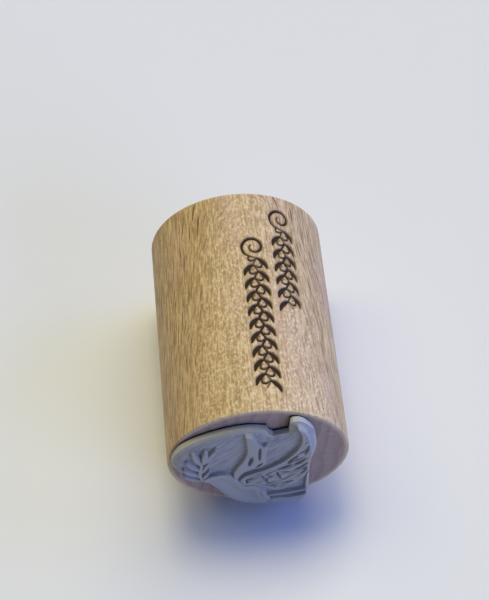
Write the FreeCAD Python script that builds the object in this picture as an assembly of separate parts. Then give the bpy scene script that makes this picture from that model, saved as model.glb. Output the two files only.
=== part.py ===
"""Round rubber stamp: a turned beech handle, a film of adhesive and a laser-engraved rubber die.

The stamp lies on its side, as it is put down between two prints. Z is up and z = 0 is the table.
The handle's axis runs along Y, with the die at the -Y end. Lengths are in millimetres.
"""
import FreeCAD, Part
import math
import os

# ---------------------------------------------------------------- driving dimensions
handle_diameter = 30.0
handle_length = 43.0
rim_break = 0.3          # radius worked on the two rims of the handle

film_thickness = 0.3     # double-sided adhesive between wood and rubber
film_inset = 0.2         # the film stays this much inside the rubber where the die is widest

rubber_backing = 1.6     # rubber left under the engraved floor
relief_height = 0.7      # engraved floor up to the printing surface
die_margin = 0.1         # flat wood left between the die's widest point and the handle's rim

burn_depth = 0.3         # laser-burnt ornament on the handle's side
burn_width = 0.46        # width of an ordinary stroke of the ornament

# ---------------------------------------------------------------- places that follow from them
handle_radius = handle_diameter / 2
total_length = handle_length + film_thickness + rubber_backing + relief_height
far_end_y = total_length / 2
wood_face_y = far_end_y - handle_length
film_face_y = wood_face_y - film_thickness
floor_y = film_face_y - rubber_backing
print_y = floor_y - relief_height

# The picture on the die is drawn inside a circle of this radius and scaled to the handle's end.
drawing_reach = 14.6
drawing_scale = (handle_radius - rim_break - die_margin) / drawing_reach

# ---------------------------------------------------------------- the picture: x across, z up
# An outline is a run of stretches. Each starts where the one before ends, and a stretch of
# more than one point is a smooth curve.
DIE_OUTLINE = [
    [(-8.6, -3.3), (-10.2, -3.2), (-12.1, -2.0), (-13.6, 0.2), (-14.3, 2.6), (-13.7, 4.9),
     (-12.5, 7.0), (-10.4, 8.8), (-7.4, 10.4), (-4.4, 11.4), (-1.6, 11.7)],
    [(1.1, 11.1), (1.5, 9.9)],
    [(2.3, 9.0)],
    [(4.7, 9.7)],
    [(4.9, 12.8)],
    [(5.3, 13.1), (6.3, 13.0), (7.5, 11.9), (8.7, 9.6), (9.3, 5.8), (9.0, 2.6)],
    [(8.4, 0.0)],
    [(8.4, -9.8), (8.0, -11.4), (6.7, -12.4)],
    [(1.9, -12.7), (-0.8, -12.3), (-3.2, -11.3), (-5.1, -9.5), (-6.4, -7.3), (-7.5, -5.1)],
]
BODY = [
    [(-9.5, -2.3), (-8.2, -1.2), (-6.6, -0.7), (-5.2, -1.1), (-4.3, -2.4), (-3.4, -3.9)],
    [(-2.6, -5.3), (-1.0, -5.5), (0.2, -7.0)],
    [(0.0, -8.0), (0.3, -9.4), (1.3, -11.6)],
    [(-0.8, -11.2), (-3.0, -10.2), (-4.8, -8.4), (-6.0, -6.3), (-7.4, -4.0)],
]
NEAR_WING = [
    [(-3.2, -3.2), (-2.4, -1.9), (-0.9, -1.0), (0.9, -0.1), (2.3, 0.9), (3.6, 2.0), (4.8, 3.5),
     (5.8, 5.2), (6.5, 7.0), (6.8, 9.0), (6.6, 11.0)],
    [(6.1, 12.4), (7.1, 11.2), (7.8, 9.0), (8.2, 6.0), (8.3, 3.0), (8.1, 0.0), (7.5, -2.8)],
    [(6.2, -5.0), (4.9, -6.4), (3.3, -7.4)],
    [(0.6, -5.9), (-0.9, -4.9)],
    [(-2.4, -4.8)],
]
FAR_WING = [
    [(-2.2, 11.0), (-2.0, 8.5), (-2.0, 6.0), (-2.6, 3.6), (-3.4, 1.8), (-4.1, 0.0), (-4.2, -1.6)],
    [(-3.9, -3.1)],
    [(-3.4, -1.7), (-2.7, -0.2), (-1.4, 0.6), (0.1, 1.1)],
    [(0.9, 2.3), (0.8, 4.4), (1.0, 6.4)],
    [(1.2, 8.1)],
    [(0.4, 7.7), (-0.4, 8.6)],
    [(-1.4, 10.8)],
]
TAIL_EDGE = [
    [(2.1, -10.6), (5.0, -10.7), (8.1, -10.1)],
    [(7.6, -11.6), (6.6, -12.1)],
    [(2.2, -12.4)],
]
# A stroke is its middle line and its half width. It tapers towards both ends.
WING_SLOTS = [
    ([(4.6, 1.6), (5.3, 2.6), (6.0, 3.8)], 0.34),
    ([(7.2, 4.2), (7.6, 5.4), (7.8, 7.0)], 0.16),
    ([(3.0, -0.2), (4.0, 0.3), (5.0, 0.8)], 0.38),
    ([(5.5, 0.9), (6.5, 1.6), (7.4, 2.8)], 0.24),
    ([(5.7, -0.8), (6.8, 0.1), (7.7, 1.5)], 0.20),
    ([(6.9, -2.2), (7.4, -1.3), (7.7, -0.2)], 0.18),
    ([(3.3, -1.0), (4.3, -1.3), (5.4, -1.2)], 0.26),
    ([(2.9, -1.3), (2.9, -2.3), (3.4, -3.4)], 0.26),
    ([(0.2, -1.9), (0.5, -3.1), (1.3, -4.6)], 0.36),
    ([(0.7, -1.8), (1.3, -2.1), (1.9, -2.6)], 0.26),
    ([(-0.8, -2.6), (-1.9, -3.1), (-2.2, -4.2)], 0.32),
    ([(3.0, -4.9), (4.2, -5.1), (5.4, -4.5)], 0.20),
    ([(0.2, -5.1), (1.4, -5.6), (2.5, -5.8)], 0.16),
    ([(0.0, 7.4), (-0.1, 5.6), (-0.1, 3.7)], 0.22),
    ([(-1.3, 4.6), (-1.5, 3.2), (-1.8, 2.0)], 0.30),
    ([(0.3, 2.4), (-0.1, 1.7), (-0.6, 1.2)], 0.20),
]
RIDGES = [
    # breast
    ([(-8.9, -3.0), (-7.8, -4.3), (-6.7, -6.3), (-5.6, -8.2), (-4.0, -10.0), (-1.9, -11.4),
      (0.2, -12.0), (1.9, -12.2)], 0.32),
    # tail: its root, its side and a ridge along it
    ([(0.4, -7.5), (0.9, -9.4), (1.9, -11.5)], 0.30),
    ([(8.0, -2.6), (8.0, -6.4), (8.0, -10.2)], 0.24),
    ([(1.4, -9.3), (4.6, -9.0), (7.9, -8.2)], 0.22),
    # sprig: its stem, then its leaves
    ([(-9.4, -2.3), (-9.8, -0.9), (-9.8, 0.6), (-9.6, 2.4), (-9.3, 4.0)], 0.20),
    ([(-9.6, 3.3), (-10.3, 4.9), (-10.7, 6.7)], 0.38),
    ([(-9.2, 3.8), (-8.9, 5.5), (-8.7, 7.4)], 0.36),
    ([(-9.0, 3.6), (-8.1, 5.5), (-7.1, 7.7)], 0.24),
    ([(-9.8, 1.3), (-10.8, 2.4), (-11.8, 4.0)], 0.36),
    ([(-9.7, 0.4), (-9.0, 1.7), (-8.6, 3.0)], 0.26),
    ([(-9.9, -0.6), (-11.1, 0.3), (-12.4, 1.6)], 0.36),
    ([(-9.5, -1.7), (-8.9, -0.7), (-8.4, 0.5)], 0.22),
    ([(-9.7, -2.2), (-11.1, -1.7), (-12.3, -0.5)], 0.30),
]

# ---------------------------------------------------------------- the ornament on the side
# Two leafy vines run along the handle. Each is given by the angle of its line from the top of
# the handle, the gap to the handle's far end, and how many leaves it has.
VINES = [(8.0, 9.0, 19), (29.0, 2.6, 12)]
scroll_radius = 2.3      # volute at the far end of each vine
scroll_turns = 1.35
leaf_pitch = 1.32        # along the vine, from one leaf to the next
leaf_length = 2.0
leaf_half_width = 0.42
tendril_reach = 1.25     # how far a tendril curls out on the side away from its leaf
vine_sway = 0.3          # how far the stem swings to each side


def curve(points):
    """A straight edge through two points, or a smooth one through more."""
    if len(points) == 2:
        return Part.LineSegment(*points).toShape()
    spline = Part.BSplineCurve()
    spline.interpolate(points)
    return spline.toShape()


def drawn(point):
    """Where a point of the picture lies, on the plane y = 0."""
    x, z = point
    return FreeCAD.Vector(x * drawing_scale, 0, handle_radius + z * drawing_scale)


def outline_face(stretches):
    """The face inside an outline of the picture."""
    edges = []
    for stretch, following in zip(stretches, stretches[1:] + stretches[:1]):
        edges.append(curve([drawn(point) for point in stretch + following[:1]]))
    return Part.Face(Part.Wire(edges))


def stroke_face(middle, half_width, normal, end_share=0.35):
    """A stroke along a middle line, narrowing to end_share of its width at rounded ends."""
    left = []
    right = []
    last = len(middle) - 1
    for i, point in enumerate(middle):
        along = middle[min(i + 1, last)] - middle[max(i - 1, 0)]
        side = along.cross(normal).normalize()
        taper = end_share + (1 - end_share) * math.sin(math.pi * i / last)
        left.append(point + side * half_width * taper)
        right.append(point - side * half_width * taper)
    caps = []
    for end, inner, side_a, side_b in ((last, last - 1, left, right), (0, 1, right, left)):
        outward = (middle[end] - middle[inner]).normalize()
        crown = middle[end] + outward * (left[end] - middle[end]).Length
        caps.append(Part.Arc(side_a[end], crown, side_b[end]).toShape())
    edges = [curve(left), caps[0], curve(right[::-1]), caps[1]]
    return Part.Face(Part.Wire(edges))


def picture_stroke(stroke):
    """The face of one stroke of the picture."""
    points, half_width = stroke
    middle = [drawn(point) for point in points]
    return stroke_face(middle, half_width * drawing_scale, FreeCAD.Vector(0, 1, 0))


def slab(face, back_y, front_y):
    """A face of the picture made solid between two planes, the front one nearer to -Y."""
    placed = face.copy()
    placed.translate(FreeCAD.Vector(0, back_y, 0))
    return placed.extrude(FreeCAD.Vector(0, front_y - back_y, 0))


def fused(shapes):
    """Several solids as one shape."""
    return shapes[0].multiFuse(shapes[1:])


def rubber_die():
    """Backing cut to the picture's outline, with the printing relief standing on it."""
    outline = outline_face(DIE_OUTLINE)
    backing = slab(outline, film_face_y, floor_y)
    root_y = floor_y + rubber_backing / 2
    areas = (BODY, NEAR_WING, FAR_WING, TAIL_EDGE)
    raised = [slab(outline_face(area), root_y, print_y) for area in areas]
    slots = [slab(picture_stroke(stroke), root_y, print_y) for stroke in WING_SLOTS]
    ridges = [slab(picture_stroke(stroke), root_y, print_y) for stroke in RIDGES]
    relief = fused([fused(raised).cut(fused(slots))] + ridges)
    within = slab(outline, root_y, print_y)
    return backing.fuse(relief.common(within)).removeSplitter()


def adhesive_film():
    """Thin sheet of adhesive, cut to the die's outline and a little smaller."""
    cut_line = outline_face(DIE_OUTLINE)
    die_reach = drawing_reach * drawing_scale
    cut_line.scale(1 - film_inset / die_reach, drawn((0, 0)))
    return slab(cut_line, wood_face_y, film_face_y)


def vine_strokes(gap, leaves):
    """Middle line and half width of each stroke of a vine, flat: x across, y along the handle."""
    start_y = far_end_y - gap - scroll_radius
    vine = []
    for i in range(leaves + 1):
        vine.append((vine_sway * (-1) ** i, start_y - scroll_radius - i * leaf_pitch))
    scroll = []
    steps = 11
    for i in range(steps):
        share = i / (steps - 1)
        angle = math.radians(-90 - 360 * scroll_turns * (1 - share))
        radius = scroll_radius * (0.25 + 0.75 * share)
        scroll.append((radius * math.cos(angle), start_y + radius * math.sin(angle)))
    strokes = [(scroll, burn_width * 0.6), (scroll[-1:] + vine, burn_width / 2)]
    for i, (x, y) in enumerate(vine[:-1]):
        side = (-1) ** i
        leaf = [(0, 0), (0.34, -0.22), (0.70, -0.60), (0.84, -1.04)]
        strokes.append(([(x + side * across * leaf_length, y + along * leaf_length)
                         for across, along in leaf], leaf_half_width))
        tendril = [(0, 0), (-0.50, -0.42), (-1.0, -0.36), (-1.12, 0.10), (-0.76, 0.26)]
        strokes.append(([(x + side * across * tendril_reach, y + along * tendril_reach)
                         for across, along in tendril], burn_width * 0.4))
    return strokes


def burnt_ornament():
    """The wood that the laser burns away, to an even depth below the turned surface."""
    reach = 2 * handle_diameter
    axis_start = FreeCAD.Vector(0, -reach, handle_radius)
    axis = FreeCAD.Vector(0, 1, 0)
    skin = Part.makeCylinder(handle_radius, 2 * reach, axis_start, axis)
    skin = skin.cut(Part.makeCylinder(handle_radius - burn_depth, 2 * reach, axis_start, axis))
    prisms = []
    for angle, gap, leaves in VINES:
        for points, half_width in vine_strokes(gap, leaves):
            middle = [FreeCAD.Vector(x, y, handle_radius) for x, y in points]
            face = stroke_face(middle, half_width, FreeCAD.Vector(0, 0, 1))
            prism = face.extrude(FreeCAD.Vector(0, 0, handle_radius))
            prism.rotate(FreeCAD.Vector(0, 0, handle_radius), axis, angle)
            prisms.append(prism)
    return fused(prisms).common(skin)


def handle():
    """Turned beech cylinder with softened rims and the ornament burnt into its side."""
    start = FreeCAD.Vector(0, wood_face_y, handle_radius)
    blank = Part.makeCylinder(handle_radius, handle_length, start, FreeCAD.Vector(0, 1, 0))
    rims = [edge for edge in blank.Edges if edge.isClosed() and len(edge.Vertexes) == 1]
    return blank.makeFillet(rim_break, rims).cut(burnt_ornament())


os.makedirs("parts", exist_ok=True)
for node, make in (("handle", handle), ("adhesive_film", adhesive_film), ("rubber_die", rubber_die)):
    shape = make()
    solids = shape.Solids
    print(node, "solids", len(solids), "valid", shape.isValid(), "volume %.1f" % shape.Volume)
    solid = solids[0] if len(solids) == 1 else Part.makeCompound(solids)
    solid.exportStep("parts/%s.step" % node)
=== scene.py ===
"""Looks of a round rubber stamp that lies on its side: beech handle, film and rubber die."""
import math
import bpy
import numpy as np
from bpy.props import FloatProperty, FloatVectorProperty, PointerProperty
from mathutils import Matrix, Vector, noise
from mathutils.geometry import delaunay_2d_cdt


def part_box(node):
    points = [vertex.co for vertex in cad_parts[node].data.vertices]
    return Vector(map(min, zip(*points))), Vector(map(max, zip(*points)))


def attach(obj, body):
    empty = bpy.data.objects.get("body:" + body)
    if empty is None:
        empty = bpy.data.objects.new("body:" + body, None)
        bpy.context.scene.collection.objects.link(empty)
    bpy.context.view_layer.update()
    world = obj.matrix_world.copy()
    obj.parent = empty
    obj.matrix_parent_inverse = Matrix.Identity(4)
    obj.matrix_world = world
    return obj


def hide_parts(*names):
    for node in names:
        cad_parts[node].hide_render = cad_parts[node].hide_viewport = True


bl_info = {
    "name": "Wooden rubber stamp",
    "version": (1, 0, 0),
    "blender": (4, 5, 0),
    "location": "3D View > Sidebar > Stamp",
    "description": "Builds a round beech stamp with a contour-cut, engraved rubber die",
    "category": "Add Mesh",
}

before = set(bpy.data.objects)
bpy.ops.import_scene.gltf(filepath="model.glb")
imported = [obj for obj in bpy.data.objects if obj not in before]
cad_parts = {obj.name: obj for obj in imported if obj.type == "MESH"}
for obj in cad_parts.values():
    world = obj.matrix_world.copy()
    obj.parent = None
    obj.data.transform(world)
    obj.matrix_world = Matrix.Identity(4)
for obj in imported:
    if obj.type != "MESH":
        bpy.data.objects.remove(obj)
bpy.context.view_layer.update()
MM = 0.001

# ---------------------------------------------------------------- places taken from the frame
HANDLE_LOW, HANDLE_HIGH = (Vector(corner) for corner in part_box("handle"))
DIE_LOW, DIE_HIGH = (Vector(corner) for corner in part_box("rubber_die"))
FILM_FACE_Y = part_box("adhesive_film")[0][1]
HANDLE_RADIUS = (HANDLE_HIGH.x - HANDLE_LOW.x) / 2
AXIS_Z = (HANDLE_HIGH.z + HANDLE_LOW.z) / 2
WOOD_FACE_Y = HANDLE_LOW.y
FAR_END_Y = HANDLE_HIGH.y
FLOOR_Z = HANDLE_LOW.z

# ---------------------------------------------------------------- the picture: x across, z up, mm
# An outline is a run of stretches. Each starts where the one before ends, and a stretch of
# more than one point is a smooth curve.
DIE_OUTLINE = [
    [(-8.6, -3.3), (-10.2, -3.2), (-12.1, -2.0), (-13.6, 0.2), (-14.3, 2.6), (-13.7, 4.9),
     (-12.5, 7.0), (-10.4, 8.8), (-7.4, 10.4), (-4.4, 11.4), (-1.6, 11.7)],
    [(1.1, 11.1), (1.5, 9.9)],
    [(2.3, 9.0)],
    [(4.7, 9.7)],
    [(4.9, 12.8)],
    [(5.3, 13.1), (6.3, 13.0), (7.5, 11.9), (8.7, 9.6), (9.3, 5.8), (9.0, 2.6)],
    [(8.4, 0.0)],
    [(8.4, -9.8), (8.0, -11.4), (6.7, -12.4)],
    [(1.9, -12.7), (-0.8, -12.3), (-3.2, -11.3), (-5.1, -9.5), (-6.4, -7.3), (-7.5, -5.1)],
]
BODY = [
    [(-9.5, -2.3), (-8.2, -1.2), (-6.6, -0.7), (-5.2, -1.1), (-4.3, -2.4), (-3.4, -3.9)],
    [(-2.6, -5.3), (-1.0, -5.5), (0.2, -7.0)],
    [(0.0, -8.0), (0.3, -9.4), (1.3, -11.6)],
    [(-0.8, -11.2), (-3.0, -10.2), (-4.8, -8.4), (-6.0, -6.3), (-7.4, -4.0)],
]
NEAR_WING = [
    [(-3.2, -3.2), (-2.4, -1.9), (-0.9, -1.0), (0.9, -0.1), (2.3, 0.9), (3.6, 2.0), (4.8, 3.5),
     (5.8, 5.2), (6.5, 7.0), (6.8, 9.0), (6.6, 11.0)],
    [(6.1, 12.4), (7.1, 11.2), (7.8, 9.0), (8.2, 6.0), (8.3, 3.0), (8.1, 0.0), (7.5, -2.8)],
    [(6.2, -5.0), (4.9, -6.4), (3.3, -7.4)],
    [(0.6, -5.9), (-0.9, -4.9)],
    [(-2.4, -4.8)],
]
FAR_WING = [
    [(-2.2, 11.0), (-2.0, 8.5), (-2.0, 6.0), (-2.6, 3.6), (-3.4, 1.8), (-4.1, 0.0), (-4.2, -1.6)],
    [(-3.9, -3.1)],
    [(-3.4, -1.7), (-2.7, -0.2), (-1.4, 0.6), (0.1, 1.1)],
    [(0.9, 2.3), (0.8, 4.4), (1.0, 6.4)],
    [(1.2, 8.1)],
    [(0.4, 7.7), (-0.4, 8.6)],
    [(-1.4, 10.8)],
]
TAIL_EDGE = [
    [(2.1, -10.6), (5.0, -10.7), (8.1, -10.1)],
    [(7.6, -11.6), (6.6, -12.1)],
    [(2.2, -12.4)],
]
# A stroke is its middle line and its half width. It tapers towards both ends.
WING_SLOTS = [
    # near wing
    ([(4.6, 1.6), (5.3, 2.6), (6.0, 3.8)], 0.34),
    ([(7.2, 4.2), (7.6, 5.4), (7.8, 7.0)], 0.16),
    ([(3.0, -0.2), (4.0, 0.3), (5.0, 0.8)], 0.38),
    ([(5.5, 0.9), (6.5, 1.6), (7.4, 2.8)], 0.24),
    ([(5.7, -0.8), (6.8, 0.1), (7.7, 1.5)], 0.20),
    ([(6.9, -2.2), (7.4, -1.3), (7.7, -0.2)], 0.18),
    ([(3.3, -1.0), (4.3, -1.3), (5.4, -1.2)], 0.26),
    ([(2.9, -1.3), (2.9, -2.3), (3.4, -3.4)], 0.26),
    ([(0.2, -1.9), (0.5, -3.1), (1.3, -4.6)], 0.36),
    ([(0.7, -1.8), (1.3, -2.1), (1.9, -2.6)], 0.26),
    ([(-0.8, -2.6), (-1.9, -3.1), (-2.2, -4.2)], 0.32),
    ([(3.0, -4.9), (4.2, -5.1), (5.4, -4.5)], 0.20),
    ([(0.2, -5.1), (1.4, -5.6), (2.5, -5.8)], 0.16),
    # far wing
    ([(0.0, 7.4), (-0.1, 5.6), (-0.1, 3.7)], 0.22),
    ([(-1.3, 4.6), (-1.5, 3.2), (-1.8, 2.0)], 0.30),
    ([(0.3, 2.4), (-0.1, 1.7), (-0.6, 1.2)], 0.20),
]
RIDGES = [
    # breast
    ([(-8.9, -3.0), (-7.8, -4.3), (-6.7, -6.3), (-5.6, -8.2), (-4.0, -10.0), (-1.9, -11.4),
      (0.2, -12.0), (1.9, -12.2)], 0.32),
    # tail: its root, its side and a ridge along it
    ([(0.4, -7.5), (0.9, -9.4), (1.9, -11.5)], 0.30),
    ([(8.0, -2.6), (8.0, -6.4), (8.0, -10.2)], 0.24),
    ([(1.4, -9.3), (4.6, -9.0), (7.9, -8.2)], 0.22),
    # sprig: its stem, then its leaves
    ([(-9.4, -2.3), (-9.8, -0.9), (-9.8, 0.6), (-9.6, 2.4), (-9.3, 4.0)], 0.20),
    ([(-9.6, 3.3), (-10.3, 4.9), (-10.7, 6.7)], 0.38),
    ([(-9.2, 3.8), (-8.9, 5.5), (-8.7, 7.4)], 0.36),
    ([(-9.0, 3.6), (-8.1, 5.5), (-7.1, 7.7)], 0.24),
    ([(-9.8, 1.3), (-10.8, 2.4), (-11.8, 4.0)], 0.36),
    ([(-9.7, 0.4), (-9.0, 1.7), (-8.6, 3.0)], 0.26),
    ([(-9.9, -0.6), (-11.1, 0.3), (-12.4, 1.6)], 0.36),
    ([(-9.5, -1.7), (-8.9, -0.7), (-8.4, 0.5)], 0.22),
    ([(-9.7, -2.2), (-11.1, -1.7), (-12.3, -0.5)], 0.30),
]

# ---------------------------------------------------------------- the ornament on the side, mm
# Angle of each vine's line from the top of the handle, gap to the far end, number of leaves.
VINES = [(8.0, 9.0, 19), (29.0, 2.6, 12)]
SCROLL_RADIUS = 2.3
SCROLL_TURNS = 1.35
LEAF_PITCH = 1.32
LEAF_LENGTH = 2.0
LEAF_HALF_WIDTH = 0.42
TENDRIL_REACH = 1.25
VINE_SWAY = 0.3
# Middle lines of a leaf and a tendril on the right of the stem, in lengths of the leaf and
# reaches of the tendril.
LEAF = [(0, 0), (0.34, -0.22), (0.70, -0.60), (0.84, -1.04)]
TENDRIL = [(0, 0), (-0.50, -0.42), (-1.0, -0.36), (-1.12, 0.10), (-0.76, 0.26)]
SCROLL_STEPS = 11
STROKE_END_SHARE = 0.35  # a stroke's width at its ends, as a share of its full width
STROKE_REACH = 1.2       # distances to a stroke are worked out this far from it
GROOVE_LEAD = 0.06       # the groove starts this far outside its stroke
GROOVE_SLOPE = 0.16      # width of the groove's sloping side
SCORCH_REACH = 0.16      # the scorch beside a stroke fades over about this distance

# ---------------------------------------------------------------- meshes of the handle and film
RIM_STEPS = 6            # rings round the corner of a rim
END_RINGS = 22           # rings from a rim to the middle of an end
FILM_LEVELS = 5          # rings through the film's thickness
FILM_BULGE = 0.05        # how far the film is squeezed out at half its thickness, in mm
FILM_RAGGED = 0.10       # how ragged its edge is, in mm
WALL_LEVELS = 8          # rings down the die's outer wall
WALL_WAVE = 0.05         # how wavy that wall is, in mm

# ---------------------------------------------------------------- the engraving, mm
BODY_HOLLOW = 0.42       # how deep the dove's body is hollowed, as a share of the relief
BARB_DEPTH = 0.75        # how deep the barbs of the near wing go, as a share of the relief
SLOT_LEAD = 0.16
SLOT_SLOPE = 0.36
EDGE_MARGIN = 0.25       # the relief fades out this close to the die's outer edge
EDGE_DROP = 0.65         # how far the rounded outer edge falls away
EDGE_DROP_SPARED = 0.55  # the share of that fall which the relief is spared
SCAN_DEPTH = 0.07        # lines left by the laser's passes
SWELL_DEPTH = 0.05       # unevenness of the engraved floor

# ---------------------------------------------------------------- small touches of colour
SCORCHED_WOOD = (0.20, 0.10, 0.04)
LATE_WOOD = (0.20, 0.135, 0.12)
PALE_END_RAY = (0.44, 0.35, 0.31)
DARK_END_RAY = (0.20, 0.13, 0.11)
END_PORE = (0.17, 0.12, 0.11)
SCAN_SHADE = (0.13, 0.13, 0.14)
RUBBER_DUST = (0.42, 0.42, 0.41)
LINT = (0.10, 0.08, 0.07)
FLOOR_DUST = (0.6, 0.6, 0.6)
YEAR_RING = 2.2          # width of a yearly ring of the beech, in mm

# ---------------------------------------------------------------- the lamps and the room
# Name, height and heading of the lamp in degrees (heading from +X towards +Y), the angle it
# fills, its power and its colour.
LAMPS = [
    ("warm_window", 68, 100, 25, 1.25, (1.0, 0.90, 0.55)),
    ("warm_ceiling_right", 50, 60, 40, 0.90, (1.0, 0.99, 0.79)),
    ("warm_ceiling_left", 55, 150, 30, 0.53, (1.0, 0.92, 0.40)),
    ("sky_above", 78, 90, 60, 0.60, (0.20, 0.39, 1.0)),
    ("sky_right", 18, 15, 45, 1.60, (0.20, 0.31, 1.0)),
    ("sky_front", 12, 316, 45, 2.0, (0.33, 0.45, 1.0)),
]
ROOM_COLOUR = (0.6, 0.65, 0.8)
ROOM_STRENGTH = 0.02
FLOOR_HALF_WIDTH = 1.5


# ================================================================ sizes and colours
class HandleLook(bpy.types.PropertyGroup):
    rim_break: FloatProperty(
        name="Rim break", description="Radius worked on the two rims",
        default=0.3 * MM, unit="LENGTH", precision=5)
    burn_depth: FloatProperty(
        name="Burn depth", description="Depth of the laser-burnt ornament",
        default=0.3 * MM, unit="LENGTH", precision=5)
    burn_width: FloatProperty(
        name="Burn width", description="Width of an ordinary stroke of the ornament",
        default=0.46 * MM, unit="LENGTH", precision=5)
    mesh_step: FloatProperty(
        name="Mesh step", description="Spacing of the mesh where the ornament is burnt",
        default=0.1 * MM, unit="LENGTH", precision=5)
    light_wood: FloatVectorProperty(
        name="Light wood", description="Pale fibres of the beech",
        default=(0.745, 0.54, 0.275), subtype="COLOR")
    dark_wood: FloatVectorProperty(
        name="Dark wood", description="Darker fibres of the beech",
        default=(0.43, 0.275, 0.12), subtype="COLOR")
    pink_wood: FloatVectorProperty(
        name="Pink wood", description="Rosy patches of the beech",
        default=(0.62, 0.40, 0.27), subtype="COLOR")
    # Pale flecks: silver-grain ray figure, and also painted highlight where the top of the handle
    # faces the lamps. The same colour lightens the worn rims.
    silver_wood: FloatVectorProperty(
        name="Silver grain", description="Rays where they lie flat and shine",
        default=(0.86, 0.68, 0.43), subtype="COLOR")
    ray: FloatVectorProperty(
        name="Ray", description="Rays where they show as short dark dashes",
        default=(0.17, 0.095, 0.035), subtype="COLOR")
    end_grain: FloatVectorProperty(
        name="End grain", description="Sawn ends of the handle",
        default=(0.42, 0.315, 0.265), subtype="COLOR")
    char: FloatVectorProperty(
        name="Char", description="Wood burnt by the laser",
        default=(0.035, 0.016, 0.006), subtype="COLOR")


class DieLook(bpy.types.PropertyGroup):
    relief_height: FloatProperty(
        name="Relief height", description="Engraved floor up to the printing surface",
        default=0.7 * MM, unit="LENGTH", precision=5)
    shoulder: FloatProperty(
        name="Shoulder", description="Width of the slope beside each printing ridge",
        default=0.34 * MM, unit="LENGTH", precision=5)
    edge_round: FloatProperty(
        name="Edge round", description="Width over which the die's outer edge is rounded",
        default=1.2 * MM, unit="LENGTH", precision=5)
    mesh_step: FloatProperty(
        name="Mesh step", description="Spacing of the relief's mesh",
        default=0.09 * MM, unit="LENGTH", precision=5)
    rubber: FloatVectorProperty(
        name="Rubber", description="Colour of the printing surface",
        default=(0.355, 0.35, 0.34), subtype="COLOR")
    engraved: FloatVectorProperty(
        name="Engraved rubber", description="Colour of the engraved floor",
        default=(0.345, 0.35, 0.36), subtype="COLOR")

    # Painted light: the cut outer wall and rounded shoulder are coloured lighter and warmer than the
    # rubber, standing in for the light from above that falls on them.
    cut_edge_painted_light: FloatVectorProperty(
        name="Cut edge, painted light", description="Colour of the cut outer edge, painted lighter and warmer for the light from above",
        default=(0.47, 0.45, 0.40), subtype="COLOR")


class FilmLook(bpy.types.PropertyGroup):
    inset: FloatProperty(
        name="Inset", description="How far the film stays inside the rubber's widest point",
        default=0.2 * MM, unit="LENGTH", precision=5)
    colour: FloatVectorProperty(
        name="Colour", description="Dark edge of the adhesive",
        default=(0.012, 0.008, 0.007), subtype="COLOR")


class StageLook(bpy.types.PropertyGroup):
    floor: FloatVectorProperty(
        name="Floor", description="Pale floor", default=(0.80, 0.80, 0.80), subtype="COLOR")
    light_power: FloatProperty(
        name="Light power", description="Strength of all the lamps together", default=1.0)
    camera_offset: FloatVectorProperty(
        name="Camera offset", description="Camera's place from the centre of the handle's die end",
        default=(-0.0136, -0.12304, 0.23352), unit="LENGTH")
    camera_turn: FloatVectorProperty(
        name="Camera turn", description="Camera's rotation",
        default=(math.radians(33.51), 0.0, math.radians(-5.25)), subtype="EULER")
    camera_lens: FloatProperty(
        name="Camera lens", description="Focal length in millimetres", default=96.1)


# ================================================================ lines and distances
def smooth_line(points, spacing):
    """Points about spacing apart on a smooth curve through the given ones."""
    given = np.array(points, float)
    before = 2 * given[0] - given[1]
    after = 2 * given[-1] - given[-2]
    knots = np.vstack([before, given, after])
    runs = []
    for a, b, c, d in zip(knots[:-3], knots[1:-2], knots[2:-1], knots[3:]):
        steps = max(1, math.ceil(np.hypot(*(c - b)) / spacing))
        t = np.linspace(0, 1, steps, endpoint=False)[:, None]
        cubic = (3 * b - a - 3 * c + d) * t ** 3
        square = (2 * a - 5 * b + 4 * c - d) * t ** 2
        runs.append((2 * b + (c - a) * t + square + cubic) / 2)
    return np.vstack(runs + [given[-1:]])


def closed_line(stretches, spacing):
    """The closed line of an outline, without its last point, anticlockwise."""
    runs = []
    for stretch, following in zip(stretches, stretches[1:] + stretches[:1]):
        runs.append(smooth_line(stretch + following[:1], spacing)[:-1])
    line = np.vstack(runs)
    following = np.roll(line, -1, axis=0)
    doubled_area = np.sum(line[:, 0] * following[:, 1] - following[:, 0] * line[:, 1])
    return line if doubled_area > 0 else line[::-1]


def nearest(places, line):
    """Distance from each place to a line, and how far along the line that is, from 0 to 1."""
    gap = np.full(len(places), np.inf)
    along = np.zeros(len(places))
    for i, (a, b) in enumerate(zip(line[:-1], line[1:])):
        step = b - a
        share = np.clip((places - a) @ step / (step @ step), 0, 1)
        far = np.hypot(*(places - a - share[:, None] * step).T)
        nearer = far < gap
        gap[nearer] = far[nearer]
        along[nearer] = (i + share[nearer]) / (len(line) - 1)
    return gap, along


def inside_outline(places, line):
    """How far inside a closed line each place is. Outside it is below zero."""
    gap = nearest(places, np.vstack([line, line[:1]]))[0]
    within = np.zeros(len(places), bool)
    for a, b in zip(line, np.roll(line, -1, axis=0)):
        if a[1] == b[1]:
            continue
        between = (places[:, 1] < a[1]) != (places[:, 1] < b[1])
        crossing = a[0] + (places[:, 1] - a[1]) / (b[1] - a[1]) * (b[0] - a[0])
        within ^= between & (places[:, 0] < crossing)
    return np.where(within, gap, -gap)


def inside_stroke(places, stroke):
    """How far inside a tapered stroke each place is, down to STROKE_REACH outside it."""
    points, half_width = stroke
    line = smooth_line(points, 0.15)
    depth = np.full(len(places), -STROKE_REACH)
    low = line.min(0) - STROKE_REACH
    high = line.max(0) + STROKE_REACH
    close = np.all((places > low) & (places < high), axis=1)
    gap, along = nearest(places[close], line)
    taper = STROKE_END_SHARE + (1 - STROKE_END_SHARE) * np.sin(math.pi * along)
    depth[close] = half_width * taper - gap
    return depth


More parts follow.
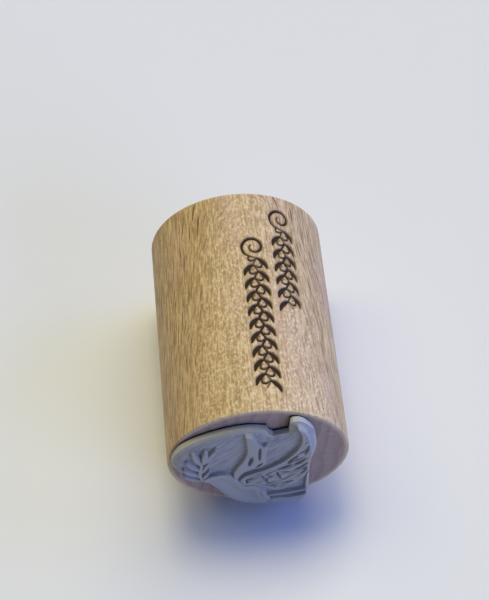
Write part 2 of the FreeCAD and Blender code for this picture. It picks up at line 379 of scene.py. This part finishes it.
def soft_step(value):
    """0 below 0, 1 above 1, smooth between."""
    held = np.clip(value, 0, 1)
    return held * held * (3 - 2 * held)


def rough(places, size, height, seed=0.0):
    """Smooth random heights with bumps of about that size."""
    return np.array([height * noise.noise((x / size[0], y / size[1], seed)) for x, y in places])


# ================================================================ meshes
def new_piece(name, points, faces, materials, node):
    """A mesh object that stands for a node of the frame and rides on its body."""
    mesh = bpy.data.meshes.new(name)
    mesh.from_pydata(points.tolist(), [], faces)
    mesh.update()
    mesh.shade_smooth()
    piece = bpy.data.objects.new(name, mesh)
    bpy.context.scene.collection.objects.link(piece)
    for material in materials:
        mesh.materials.append(material)
    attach(piece, "root")
    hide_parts(node)
    return piece


def add_mask(piece, name, values):
    """One number per vertex, which the piece's material reads by name."""
    layer = piece.data.attributes.new(name, "FLOAT", "POINT")
    layer.data.foreach_set("value", np.asarray(values, np.float32))


def bridge(first, second):
    """Quads between two closed rings of vertex numbers."""
    count = len(first)
    faces = []
    for i in range(count):
        j = (i + 1) % count
        faces.append((first[i], first[j], second[j], second[i]))
    return faces


# ================================================================ shader nodes
class Tree:
    """Short ways to add and join the nodes of one shader tree."""

    def __init__(self, tree):
        self.tree = tree

    def feed(self, socket, value):
        """Links a socket, or sets its value."""
        if isinstance(value, bpy.types.NodeSocket):
            self.tree.links.new(value, socket)
        elif socket.type == "RGBA":
            socket.default_value = (*value, 1)
        else:
            socket.default_value = value

    def add(self, kind, inputs=None, **settings):
        """A node with its settings, and its inputs by name or number."""
        made = self.tree.nodes.new("ShaderNode" + kind)
        for name, value in settings.items():
            setattr(made, name, value)
        for key, value in (inputs or {}).items():
            self.feed(made.inputs[key], value)
        return made

    def maths(self, operation, a, b=0.0):
        return self.add("Math", {0: a, 1: b}, operation=operation).outputs[0]

    def between(self, value, low, high, out_low=0.0, out_high=1.0):
        """A value made to run smoothly from out_low to out_high."""
        inputs = {"Value": value, "From Min": low, "From Max": high,
                  "To Min": out_low, "To Max": out_high}
        return self.add("MapRange", inputs, interpolation_type="SMOOTHSTEP").outputs[0]

    def mix(self, share, a, b, blend="MIX"):
        """Colour a going over to colour b."""
        return self.add("Mix", {0: share, 6: a, 7: b}, data_type="RGBA", blend_type=blend).outputs[2]

    def stretched(self, vector, scale):
        """Coordinates scaled by a different amount each way."""
        return self.add("VectorMath", {0: vector, 1: scale}, operation="MULTIPLY").outputs[0]

    def noise(self, vector, scale, detail=2.0, roughness=0.5):
        inputs = {"Vector": vector, "Scale": scale, "Detail": detail, "Roughness": roughness}
        return self.add("TexNoise", inputs).outputs[0]

    def mask(self, name):
        """A number stored on the mesh."""
        return self.add("Attribute", attribute_name=name).outputs["Fac"]

    def bump(self, height, strength, distance, normal=None):
        inputs = {"Height": height, "Strength": strength, "Distance": distance}
        if normal is not None:
            inputs["Normal"] = normal
        return self.add("Bump", inputs).outputs[0]


def new_group(name, inputs, outputs):
    """An empty node group with number sockets. Returns it with its tree, input and output nodes."""
    group = bpy.data.node_groups.new(name, "ShaderNodeTree")
    for label, value in inputs.items():
        socket = group.interface.new_socket(label, in_out="INPUT", socket_type="NodeSocketFloat")
        socket.default_value = value
    for label in outputs:
        group.interface.new_socket(label, in_out="OUTPUT", socket_type="NodeSocketFloat")
    tree = Tree(group)
    return group, tree, group.nodes.new("NodeGroupInput"), group.nodes.new("NodeGroupOutput")


def new_material(name, **constants):
    """A material with a Principled shader whose constants are set on its own sockets."""
    material = bpy.data.materials.new(name)
    material.use_nodes = True
    shader = material.node_tree.nodes["Principled BSDF"]
    for label, value in constants.items():
        shader.inputs[label.replace("_", " ")].default_value = value
    return material, Tree(material.node_tree), shader.inputs


def beech_growth_group():
    """Rays, fibres and yearly rings of beech, laid along the tree's own directions."""
    name = "Beech growth"
    if name in bpy.data.node_groups:
        return bpy.data.node_groups[name]
    labels = ["Ring", "Ray", "Fine Ray", "Fibre", "Grain", "Cloud", "Flat"]
    group, tree, ends_in, ends_out = new_group(name, {"Ring Width": YEAR_RING}, labels)
    # In millimetres from the handle's axis, turned so that x runs out from the tree's pith,
    # y up its trunk and z round it.
    place = tree.add("TexCoord").outputs["Object"]
    centred = tree.add("VectorMath", {0: place, 1: (0, 0, AXIS_Z)}, operation="SUBTRACT").outputs[0]
    in_mm = tree.add("VectorMath", {0: centred, "Scale": 1 / MM}, operation="SCALE").outputs[0]
    turn = (math.radians(-6.5), math.radians(-5), 0)
    trunk = tree.add("Mapping", {"Vector": in_mm, "Rotation": turn}).outputs[0]
    sway = tree.noise(tree.stretched(trunk, (0.12, 0.10, 0.30)), 1.0, detail=1.0)
    shift = tree.add("CombineXYZ", {2: tree.maths("MULTIPLY", sway, 1.6)}).outputs[0]
    swayed = tree.add("VectorMath", {0: trunk, 1: shift}, operation="ADD").outputs[0]

    def sheets(cell, low, high, share, seed):
        """Thin lens-shaped sheets that stand along the trunk and out from the pith."""
        moved = tree.add("VectorMath", {0: swayed, 1: (seed, seed, seed)}, operation="ADD").outputs[0]
        scale = tuple(1 / side for side in cell)
        found = tree.add("TexVoronoi", {"Vector": tree.stretched(moved, scale), "Scale": 1.0}).outputs
        chance = tree.add("SeparateColor", {0: found["Color"]}).outputs[0]
        chosen = tree.between(chance, 1 - share, 1.15 - share)
        return tree.maths("MULTIPLY", tree.between(found["Distance"], low, high, 1.0, 0.0), chosen)

    cloud = tree.noise(tree.stretched(trunk, (0.16, 0.05, 0.16)), 1.0, detail=2.0)
    out_from_pith = tree.add("SeparateXYZ", {0: trunk}).outputs[0]
    warped = tree.maths("ADD", out_from_pith, tree.maths("MULTIPLY", cloud, 4.0))
    year = tree.maths("FRACT", tree.maths("DIVIDE", warped, ends_in.outputs["Ring Width"]))
    late = tree.between(year, 0.30, 0.92)
    ring_end = tree.between(year, 0.94, 1.0, 1.0, 0.0)
    tree.feed(ends_out.inputs["Ring"], tree.maths("MULTIPLY", late, ring_end))
    tree.feed(ends_out.inputs["Ray"], sheets((3.2, 7.5, 0.27), 0.16, 0.36, 0.80, 0.0))
    tree.feed(ends_out.inputs["Fine Ray"], sheets((1.6, 3.6, 0.19), 0.14, 0.42, 0.75, 7.3))
    fibre = tree.stretched(swayed, (3.0, 0.16, 3.0))
    tree.feed(ends_out.inputs["Fibre"], tree.noise(fibre, 1.0, 3.0, 0.6))
    grain = tree.stretched(swayed, (2.6, 1.5, 2.6))
    tree.feed(ends_out.inputs["Grain"], tree.noise(grain, 1.0, 2.0, 0.6))
    tree.feed(ends_out.inputs["Cloud"], cloud)
    round_trunk = tree.maths("ABSOLUTE", tree.add("SeparateXYZ", {0: trunk}).outputs[2])
    radius = HANDLE_RADIUS / MM
    tree.feed(ends_out.inputs["Flat"], tree.between(round_trunk, 0.66 * radius, 0.96 * radius))
    return group


def grit_group():
    """Fine grit and soft blotches, for what has been handled."""
    name = "Fine grit"
    if name in bpy.data.node_groups:
        return bpy.data.node_groups[name]
    group, tree, ends_in, ends_out = new_group(name, {"Grain": 1.0}, ["Grit", "Blotch", "Streak"])
    place = tree.add("TexCoord").outputs["Object"]
    in_mm = tree.add("VectorMath", {0: place, "Scale": 1 / MM}, operation="SCALE").outputs[0]
    grain = {0: in_mm, "Scale": ends_in.outputs["Grain"]}
    sized = tree.add("VectorMath", grain, operation="SCALE").outputs[0]
    tree.feed(ends_out.inputs["Grit"], tree.noise(sized, 6.0, 4.0, 0.65))
    tree.feed(ends_out.inputs["Blotch"], tree.noise(in_mm, 0.22, 3.0, 0.55))
    turned = tree.add("Mapping", {"Vector": in_mm, "Rotation": (0, math.radians(45), 0)}).outputs[0]
    streak = tree.stretched(turned, (0.35, 3.2, 3.2))
    tree.feed(ends_out.inputs["Streak"], tree.noise(streak, 1.0, 3.0, 0.6))
    return group


def place_group(tree, group, **values):
    """A group node in a material, with its own values."""
    made = tree.add("Group", node_tree=group)
    for label, value in values.items():
        made.inputs[label.replace("_", " ")].default_value = value
    return made.outputs


def beech_side_material(look):
    """Sanded bare beech: dark ray dashes, pale flecks where the rays lie flat that are partly silver
    grain and partly painted highlight, with burnt strokes.
    """
    material, tree, shader = new_material("Sanded beech", Specular_IOR_Level=0.4)
    grown = place_group(tree, beech_growth_group(), Ring_Width=YEAR_RING)
    grit = place_group(tree, grit_group(), Grain=1.0)
    wood = tree.mix(tree.between(grown["Fibre"], 0.36, 0.62), look.light_wood, look.dark_wood)
    wood = tree.mix(tree.maths("MULTIPLY", grown["Ring"], 0.18), wood, look.dark_wood)
    wood = tree.mix(tree.between(grown["Cloud"], 0.48, 0.66, 0.0, 0.40), wood, look.pink_wood)
    speck = tree.between(grown["Grain"], 0.50, 0.72)
    speckled = tree.maths("MULTIPLY", speck, tree.between(grown["Flat"], 0.0, 1.0, 0.45, 0.30))
    wood = tree.mix(speckled, wood, look.dark_wood)
    # Pale flecks, strongest on the top of the handle: real silver grain, plus painted highlight where
    # the lamps shine on it.
    silver = tree.between(grown["Grain"], 0.54, 0.30)
    silver_fleck_and_highlight = tree.maths("MULTIPLY", silver, tree.between(grown["Flat"], 0.0, 1.0, 0.15, 0.78))
    wood = tree.mix(silver_fleck_and_highlight, wood, look.silver_wood)
    across = tree.between(grown["Flat"], 0.0, 1.0, 0.95, 0.13)
    fine = tree.maths("MULTIPLY", grown["Fine Ray"], tree.maths("MULTIPLY", across, 0.75))
    wood = tree.mix(fine, wood, look.ray)
    wood = tree.mix(tree.maths("MULTIPLY", grown["Ray"], across), wood, look.ray)
    rim = tree.maths("MULTIPLY", tree.mask("rim"), tree.between(grit["Grit"], 0.35, 0.60, 0.0, 0.55))
    wood = tree.mix(rim, wood, look.silver_wood)
    wood = tree.mix(tree.maths("MULTIPLY", tree.mask("scorch"), 0.55), wood, SCORCHED_WOOD)
    tree.feed(shader["Base Color"], tree.mix(tree.mask("burn"), wood, look.char))
    sanded = tree.maths("SUBTRACT", 0.62, tree.maths("MULTIPLY", silver_fleck_and_highlight, 0.22))
    burnt = tree.maths("MULTIPLY", tree.mask("burn"), 0.9)
    tree.feed(shader["Roughness"], tree.maths("MAXIMUM", sanded, burnt))
    height = tree.maths("ADD", grown["Fibre"], tree.maths("MULTIPLY", grown["Ray"], -0.7))
    height = tree.maths("ADD", height, tree.maths("MULTIPLY", grown["Grain"], -0.9))
    height = tree.maths("ADD", height, tree.maths("MULTIPLY", grit["Grit"], 0.4))
    tree.feed(shader["Normal"], tree.bump(height, 0.8, 0.06 * MM))
    return material


def beech_end_material(look):
    """Sawn end grain: yearly rings crossed by fine rays."""
    material, tree, shader = new_material("Sawn beech end", Roughness=0.78, Specular_IOR_Level=0.2)
    grown = place_group(tree, beech_growth_group(), Ring_Width=YEAR_RING)
    grit = place_group(tree, grit_group(), Grain=1.3)
    wood = tree.mix(tree.maths("MULTIPLY", grown["Ring"], 0.30), look.end_grain, LATE_WOOD)
    wood = tree.mix(tree.maths("MULTIPLY", grown["Fine Ray"], 0.40), wood, PALE_END_RAY)
    wood = tree.mix(tree.maths("MULTIPLY", grown["Ray"], 0.35), wood, DARK_END_RAY)
    wood = tree.mix(tree.between(grit["Grit"], 0.42, 0.68, 0.0, 0.45), wood, END_PORE)
    rim = tree.maths("MULTIPLY", tree.mask("rim"), tree.between(grit["Grit"], 0.35, 0.60, 0.15, 0.75))
    tree.feed(shader["Base Color"], tree.mix(rim, wood, look.silver_wood))
    height = tree.maths("ADD", tree.maths("MULTIPLY", grit["Grit"], 1.0), grown["Fine Ray"])
    tree.feed(shader["Normal"], tree.bump(height, 0.6, 0.06 * MM))
    return material


def rubber_material(look):
    """Matt grey rubber, darker and streaked where the laser has engraved it, with painted light on
    its cut outer edge.
    """
    material, tree, shader = new_material("Engraved rubber", Specular_IOR_Level=0.3)
    grit = place_group(tree, grit_group(), Grain=1.2)
    depth = tree.mask("engraved")
    rubber = tree.mix(depth, look.rubber, look.engraved)
    # Painted light: the outer wall and rounded shoulder are made lighter and warmer, as if lit from
    # above.
    rubber = tree.mix(tree.mask("cut"), rubber, look.cut_edge_painted_light)
    rubber = tree.mix(tree.between(grit["Blotch"], 0.40, 0.70, 0.0, 0.30), rubber, look.engraved)
    streak = tree.maths("MULTIPLY", tree.between(grit["Streak"], 0.42, 0.66), depth)
    rubber = tree.mix(tree.maths("MULTIPLY", streak, 0.45), rubber, SCAN_SHADE)
    rubber = tree.mix(tree.between(grit["Grit"], 0.50, 0.75, 0.0, 0.25), rubber, RUBBER_DUST)
    tree.feed(shader["Base Color"], rubber)
    tree.feed(shader["Roughness"], tree.between(grit["Grit"], 0.3, 0.7, 0.60, 0.80))
    pitted = tree.maths("MULTIPLY", grit["Grit"], 0.5)
    height = tree.maths("ADD", pitted, tree.maths("MULTIPLY", streak, 0.8))
    tree.feed(shader["Normal"], tree.bump(height, 0.5, 0.05 * MM))
    return material


def film_material(look):
    """Dark adhesive with lint stuck to its edge."""
    material, tree, shader = new_material("Adhesive film", Roughness=0.5)
    grit = place_group(tree, grit_group(), Grain=1.0)
    lint = tree.between(grit["Grit"], 0.60, 0.72, 0.0, 0.6)
    tree.feed(shader["Base Color"], tree.mix(lint, look.colour, LINT))
    tree.feed(shader["Roughness"], tree.between(grit["Grit"], 0.3, 0.7, 0.4, 0.7))
    tree.feed(shader["Normal"], tree.bump(grit["Grit"], 0.5, 0.05 * MM))
    return material


# ================================================================ the pieces
def vine_strokes(gap, leaves, burn_width):
    """The strokes of one vine, flat: x across, y along the handle from its far end at zero."""
    start_y = -gap - SCROLL_RADIUS
    vine = [(VINE_SWAY * (-1) ** i, start_y - SCROLL_RADIUS - i * LEAF_PITCH)
            for i in range(leaves + 1)]
    scroll = []
    for i in range(SCROLL_STEPS):
        share = i / (SCROLL_STEPS - 1)
        angle = math.radians(-90 - 360 * SCROLL_TURNS * (1 - share))
        radius = SCROLL_RADIUS * (0.25 + 0.75 * share)
        scroll.append((radius * math.cos(angle), start_y + radius * math.sin(angle)))
    strokes = [(scroll, burn_width * 0.6), (scroll[-1:] + vine, burn_width / 2)]
    for i, (x, y) in enumerate(vine[:-1]):
        side = (-1) ** i
        for shape, size, half_width in ((LEAF, LEAF_LENGTH, LEAF_HALF_WIDTH),
                                        (TENDRIL, TENDRIL_REACH, burn_width * 0.4)):
            middle = [(x + side * across * size, y + along * size) for across, along in shape]
            strokes.append((middle, half_width))
    return strokes


def burnt_inside(angles, ys, burn_width):
    """How far inside the burnt ornament each place of the handle's side is, in millimetres."""
    depth = np.full(len(angles), -STROKE_REACH)
    radius = HANDLE_RADIUS / MM
    for tilt, gap, leaves in VINES:
        turned = angles - math.radians(tilt)
        flat = np.stack([radius * np.sin(turned), ys - FAR_END_Y / MM], axis=1)
        facing = np.cos(turned) > 0.5
        for stroke in vine_strokes(gap, leaves, burn_width):
            depth[facing] = np.maximum(depth[facing], inside_stroke(flat[facing], stroke))
    return depth


def handle_angles(step):
    """Angles round the handle from its top, close together where the ornament is."""
    low = math.radians(min(vine[0] for vine in VINES) - 14)
    high = math.radians(max(vine[0] for vine in VINES) + 14)
    fine = np.linspace(low, high, math.ceil((high - low) * HANDLE_RADIUS / step), endpoint=False)
    rest = 2 * math.pi - (high - low)
    coarse = np.linspace(high, high + rest, math.ceil(rest / math.radians(1.5)), endpoint=False)
    return np.concatenate([fine, coarse])


class STAMP_OT_turn_handle(bpy.types.Operator):
    """Turn the beech handle, soften its rims and burn the ornament into its side"""
    bl_idname = "stamp.turn_handle"
    bl_label = "Turn handle"

    def execute(self, context):
        look = context.scene.stamp_handle
        rim = look.rim_break
        angles = handle_angles(look.mesh_step)
        steps = math.ceil((FAR_END_Y - WOOD_FACE_Y - 2 * rim) / look.mesh_step)
        ys = np.linspace(WOOD_FACE_Y + rim, FAR_END_Y - rim, steps)

        side_angle, side_y = np.meshgrid(angles, ys)
        burnt = burnt_inside(side_angle.ravel(), side_y.ravel() / MM, look.burn_width / MM)
        groove = soft_step((burnt + GROOVE_LEAD) / GROOVE_SLOPE)
        side_radius = HANDLE_RADIUS - look.burn_depth * groove
        rows = [(side_radius.reshape(side_y.shape), side_y)]

        def ring(radius, y):
            return (np.full((1, len(angles)), radius), np.full((1, len(angles)), y))

        flat_radius = HANDLE_RADIUS - rim
        inner = [flat_radius * (1 - (i / END_RINGS)) for i in range(1, END_RINGS)]

        def end_rows(end_y, inward):
            """Rows round one rim and over its end. Inward is the way along Y into the wood."""
            corner = [math.radians(90 * i / RIM_STEPS) for i in range(1, RIM_STEPS + 1)]
            made = [ring(flat_radius + rim * math.cos(a), end_y + inward * rim * (1 - math.sin(a)))
                    for a in corner]
            return made + [ring(radius, end_y) for radius in inner]

        near = end_rows(WOOD_FACE_Y, 1)
        rows = near[::-1] + rows + end_rows(FAR_END_Y, -1)
        radius = np.vstack([row[0] for row in rows])
        y = np.vstack([row[1] for row in rows])
        angle = np.broadcast_to(angles, radius.shape)
        points = np.stack([radius * np.sin(angle), y, AXIS_Z + radius * np.cos(angle)], axis=-1)
        points = points.reshape(-1, 3)

        count = len(angles)
        numbers = np.arange(len(points)).reshape(radius.shape)
        faces = []
        for first, second in zip(numbers[:-1], numbers[1:]):
            faces += bridge(first.tolist(), second.tolist())
        ends = len(points)
        points = np.vstack([points, [(0, WOOD_FACE_Y, AXIS_Z), (0, FAR_END_Y, AXIS_Z)]])
        for i in range(count):
            j = (i + 1) % count
            faces.append((int(numbers[0, j]), int(numbers[0, i]), ends))
            faces.append((int(numbers[-1, i]), int(numbers[-1, j]), ends + 1))
        materials = (beech_side_material(look), beech_end_material(look))
        piece = new_piece("turned_handle", points, faces, materials, "handle")
        bands = len(numbers) - 1
        on_end = np.ones(len(faces), int)
        on_end[len(inner) * count:(bands - len(inner)) * count] = 0
        piece.data.polygons.foreach_set("material_index", on_end)

        side_start = len(near) * count
        burn = np.zeros(len(points))
        scorch = np.zeros(len(points))
        burn[side_start:side_start + len(burnt)] = soft_step((burnt + 0.02) / 0.10)
        scorch[side_start:side_start + len(burnt)] = np.exp(-np.clip(-burnt, 0, None) / SCORCH_REACH)
        add_mask(piece, "burn", burn)
        add_mask(piece, "scorch", scorch)
        from_rim = np.maximum(np.abs(points[:, 1] - (WOOD_FACE_Y + FAR_END_Y) / 2)
                              - (FAR_END_Y - WOOD_FACE_Y) / 2 + 0.45 * MM, 0)
        from_axis = np.hypot(points[:, 0], points[:, 2] - AXIS_Z)
        outer = soft_step((from_axis - HANDLE_RADIUS + 0.75 * MM) / (0.4 * MM))
        add_mask(piece, "rim", soft_step(from_rim / (0.3 * MM)) * outer)
        return {"FINISHED"}


def drawing_scale():
    """Metres on the die per millimetre of the drawing."""
    line = closed_line(DIE_OUTLINE, 0.5)
    return (DIE_HIGH.x - DIE_LOW.x) / (line[:, 0].max() - line[:, 0].min())


def on_stamp(places, y):
    """Places of the drawing put on the stamp, at the given places along its axis."""
    flat = places * drawing_scale()
    return np.stack([flat[:, 0], np.broadcast_to(y, len(flat)), AXIS_Z + flat[:, 1]], axis=1)


def outward(line):
    """Directions that point out of a closed anticlockwise line, one for each of its points."""
    along = np.roll(line, -1, axis=0) - np.roll(line, 1, axis=0)
    along /= np.hypot(*along.T)[:, None]
    return np.stack([along[:, 1], -along[:, 0]], axis=1)


class STAMP_OT_lay_film(bpy.types.Operator):
    """Lay the dark adhesive film between the wood and the rubber"""
    bl_idname = "stamp.lay_film"
    bl_label = "Lay adhesive film"

    def execute(self, context):
        look = context.scene.stamp_film
        line = closed_line(DIE_OUTLINE, 0.15)
        reach = np.hypot(*line.T).max()
        line = line * (1 - look.inset / MM / reach)
        out = outward(line)
        count = len(line)
        rings = []
        for level in range(FILM_LEVELS):
            share = level / (FILM_LEVELS - 1)
            squeezed = FILM_BULGE * math.sin(math.pi * share)
            ragged = rough(line, (0.8, 0.8), FILM_RAGGED, seed=share)
            ring = line + out * (squeezed + ragged)[:, None]
            rings.append(on_stamp(ring, WOOD_FACE_Y + share * (FILM_FACE_Y - WOOD_FACE_Y)))
        faces = []
        for level in range(FILM_LEVELS - 1):
            start = level * count
            faces += bridge(range(start, start + count), range(start + count, start + 2 * count))
        faces.append(tuple(range(count))[::-1])
        faces.append(tuple(range((FILM_LEVELS - 1) * count, FILM_LEVELS * count)))
        new_piece("sticky_film", np.vstack(rings), faces, [film_material(look)],
                  "adhesive_film")
        return {"FINISHED"}


def turned(places, degrees):
    """The places seen along axes turned by an angle."""
    cos = math.cos(math.radians(degrees))
    sin = math.sin(math.radians(degrees))
    return places @ np.array([[cos, -sin], [sin, cos]])


def relief_share(places, shoulder):
    """How high the relief stands at each place: 0 on the engraved floor, 1 on the printing face."""
    body = inside_outline(places, closed_line(BODY, 0.2))
    hollow = BODY_HOLLOW * soft_step((body - 0.35) / 1.6)
    share = soft_step(1 + body / shoulder) - hollow
    wing = inside_outline(places, closed_line(NEAR_WING, 0.2))
    barbs = np.clip(rough(turned(places, 38), (2.6, 0.42), BARB_DEPTH), 0, 1)
    barbs *= soft_step((wing - 0.15) / 0.6)
    share = np.maximum(share, soft_step(1 + wing / shoulder) - barbs)
    for area in (FAR_WING, TAIL_EDGE):
        inside = inside_outline(places, closed_line(area, 0.2))
        share = np.maximum(share, soft_step(1 + inside / shoulder))
    for slot in WING_SLOTS:
        cut = soft_step((inside_stroke(places, slot) + SLOT_LEAD) / SLOT_SLOPE)
        share = np.minimum(share, 1 - cut)
    for ridge in RIDGES:
        share = np.maximum(share, soft_step(1 + inside_stroke(places, ridge) / shoulder))
    return np.clip(share, 0, 1)


def grid_inside(line, step):
    """Evenly staggered places that lie more than half a step inside a closed line."""
    low = line.min(0)
    high = line.max(0)
    rows = np.arange(low[1], high[1], step * math.sin(math.radians(60)))
    columns = np.arange(low[0], high[0], step)
    grid = [np.stack([columns + step / 2 * (i % 2), np.full(len(columns), z)], axis=1)
            for i, z in enumerate(rows)]
    places = np.vstack(grid)
    depth = inside_outline(places, line)
    return places[depth > step * 0.6]


class STAMP_OT_engrave_die(bpy.types.Operator):
    """Cut the rubber die to its outline and engrave the dove and its sprig"""
    bl_idname = "stamp.engrave_die"
    bl_label = "Engrave die"

    def execute(self, context):
        look = context.scene.stamp_die
        scale = drawing_scale()
        step = look.mesh_step / scale
        line = closed_line(DIE_OUTLINE, step)
        inner = grid_inside(line, step)
        count = len(line)
        corners = [Vector(place) for place in np.vstack([line, inner])]
        found, _, faces, came_from, _, _ = delaunay_2d_cdt(corners, [], [list(range(count))], 1, 1e-6)
        places = np.array([(place.x, place.y) for place in found])
        edge = [0] * count
        for number, sources in enumerate(came_from):
            for source in sources:
                if source < count:
                    edge[source] = number

        print_y = DIE_LOW.y
        floor_y = print_y + look.relief_height
        depth = inside_outline(places, line) * scale
        rounded = np.sin(np.pi / 2 * np.clip(depth / look.edge_round, 0, 1))
        share = relief_share(places, look.shoulder / scale)
        share *= soft_step(depth / (EDGE_MARGIN * MM) + 0.15)
        scan = rough(turned(places, 45), (2.4, 0.26), SCAN_DEPTH * MM)
        scan += rough(places, (1.1, 1.1), SWELL_DEPTH * MM, 4.0)
        drop = EDGE_DROP * MM * (1 - rounded) * (1 - EDGE_DROP_SPARED * share)
        y = floor_y + drop - share * look.relief_height + scan * (1 - share) + 0.15 * scan * share
        y = np.maximum(y, print_y)
        points = [on_stamp(places, y)]

        out = outward(line)
        faces = [tuple(face) for face in faces]
        above = edge
        edge_y = y[edge]
        total = len(places)
        for level in range(1, WALL_LEVELS + 1):
            part = level / WALL_LEVELS
            wavy = rough(line, (2.5, 2.5), WALL_WAVE, seed=part * 0.4) * math.sin(math.pi * part)
            ring = line + out * wavy[:, None]
            points.append(on_stamp(ring, edge_y + part * (DIE_HIGH.y - edge_y)))
            below = list(range(total, total + count))
            faces += bridge(above, below)
            above = below
            total += count
        faces.append(tuple(above))
        piece = new_piece("engraved_die", np.vstack(points), faces, [rubber_material(look)],
                          "rubber_die")
        engraved = np.zeros(total)
        engraved[:len(places)] = (1 - share) * rounded
        add_mask(piece, "engraved", engraved)
        # Mask of the painted light on the cut edge: all of the outer wall, and the rounded shoulder
        # of the top face.
        cut = np.ones(total)
        cut[:len(places)] = 1 - soft_step(rounded)
        add_mask(piece, "cut", cut)
        return {"FINISHED"}


class STAMP_OT_set_stage(bpy.types.Operator):
    """Set the pale floor, the soft lamps and the camera"""
    bl_idname = "stamp.set_stage"
    bl_label = "Set stage"

    def execute(self, context):
        look = context.scene.stamp_stage
        scene = context.scene
        half = FLOOR_HALF_WIDTH
        mesh = bpy.data.meshes.new("floor")
        mesh.from_pydata([(-half, -half, FLOOR_Z), (half, -half, FLOOR_Z), (half, half, FLOOR_Z),
                          (-half, half, FLOOR_Z)], [], [(0, 1, 2, 3)])
        floor = bpy.data.objects.new("floor", mesh)
        scene.collection.objects.link(floor)
        material, tree, shader = new_material("Pale floor", Roughness=0.7, Specular_IOR_Level=0.2)
        grit = place_group(tree, grit_group(), Grain=0.5)
        dust = tree.between(grit["Grit"], 0.4, 0.7, 0.0, 0.04)
        tree.feed(shader["Base Color"], tree.mix(dust, look.floor, FLOOR_DUST))
        mesh.materials.append(material)

        for name, height, heading, spread, power, colour in LAMPS:
            lamp = bpy.data.lights.new(name, "SUN")
            lamp.energy = power * look.light_power
            lamp.color = colour
            lamp.angle = math.radians(spread)
            up = math.radians(height)
            turn = math.radians(heading)
            level = math.cos(up)
            towards = Vector((level * math.cos(turn), level * math.sin(turn), math.sin(up)))
            placed = bpy.data.objects.new(name, lamp)
            placed.rotation_euler = towards.to_track_quat("Z", "Y").to_euler()
            scene.collection.objects.link(placed)

        world = bpy.data.worlds.new("dim_room")
        world.use_nodes = True
        background = world.node_tree.nodes["Background"].inputs
        background["Color"].default_value = (*ROOM_COLOUR, 1)
        background["Strength"].default_value = ROOM_STRENGTH
        scene.world = world
        scene.view_settings.view_transform = "Standard"

        camera = bpy.data.cameras.new("camera")
        camera.lens = look.camera_lens
        camera.clip_start = 0.01
        placed = bpy.data.objects.new("camera", camera)
        placed.location = Vector((0, WOOD_FACE_Y, AXIS_Z)) + Vector(look.camera_offset)
        placed.rotation_euler = look.camera_turn
        scene.collection.objects.link(placed)
        scene.camera = placed
        return {"FINISHED"}


class STAMP_PT_panel(bpy.types.Panel):
    """Sizes and colours of the stamp, and what builds each piece"""
    bl_idname = "STAMP_PT_panel"
    bl_label = "Wooden stamp"
    bl_space_type = "VIEW_3D"
    bl_region_type = "UI"
    bl_category = "Stamp"

    def draw(self, context):
        for operator, group in STEPS:
            box = self.layout.box()
            look = getattr(context.scene, group)
            for name in look.__annotations__:
                box.prop(look, name)
            box.operator(operator.bl_idname)


STEPS = (
    (STAMP_OT_turn_handle, "stamp_handle"),
    (STAMP_OT_lay_film, "stamp_film"),
    (STAMP_OT_engrave_die, "stamp_die"),
    (STAMP_OT_set_stage, "stamp_stage"),
)
LOOKS = {"stamp_handle": HandleLook, "stamp_film": FilmLook, "stamp_die": DieLook,
         "stamp_stage": StageLook}


def register():
    for look in LOOKS.values():
        bpy.utils.register_class(look)
    for operator, _ in STEPS:
        bpy.utils.register_class(operator)
    bpy.utils.register_class(STAMP_PT_panel)
    for name, look in LOOKS.items():
        setattr(bpy.types.Scene, name, PointerProperty(type=look))


def unregister():
    for name in LOOKS:
        delattr(bpy.types.Scene, name)
    bpy.utils.unregister_class(STAMP_PT_panel)
    for operator, _ in STEPS:
        bpy.utils.unregister_class(operator)
    for look in LOOKS.values():
        bpy.utils.unregister_class(look)


def main():
    """Registers the classes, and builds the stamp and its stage."""
    register()
    bpy.ops.stamp.turn_handle()
    bpy.ops.stamp.lay_film()
    bpy.ops.stamp.engrave_die()
    bpy.ops.stamp.set_stage()


if __name__ == "__main__":
    main()
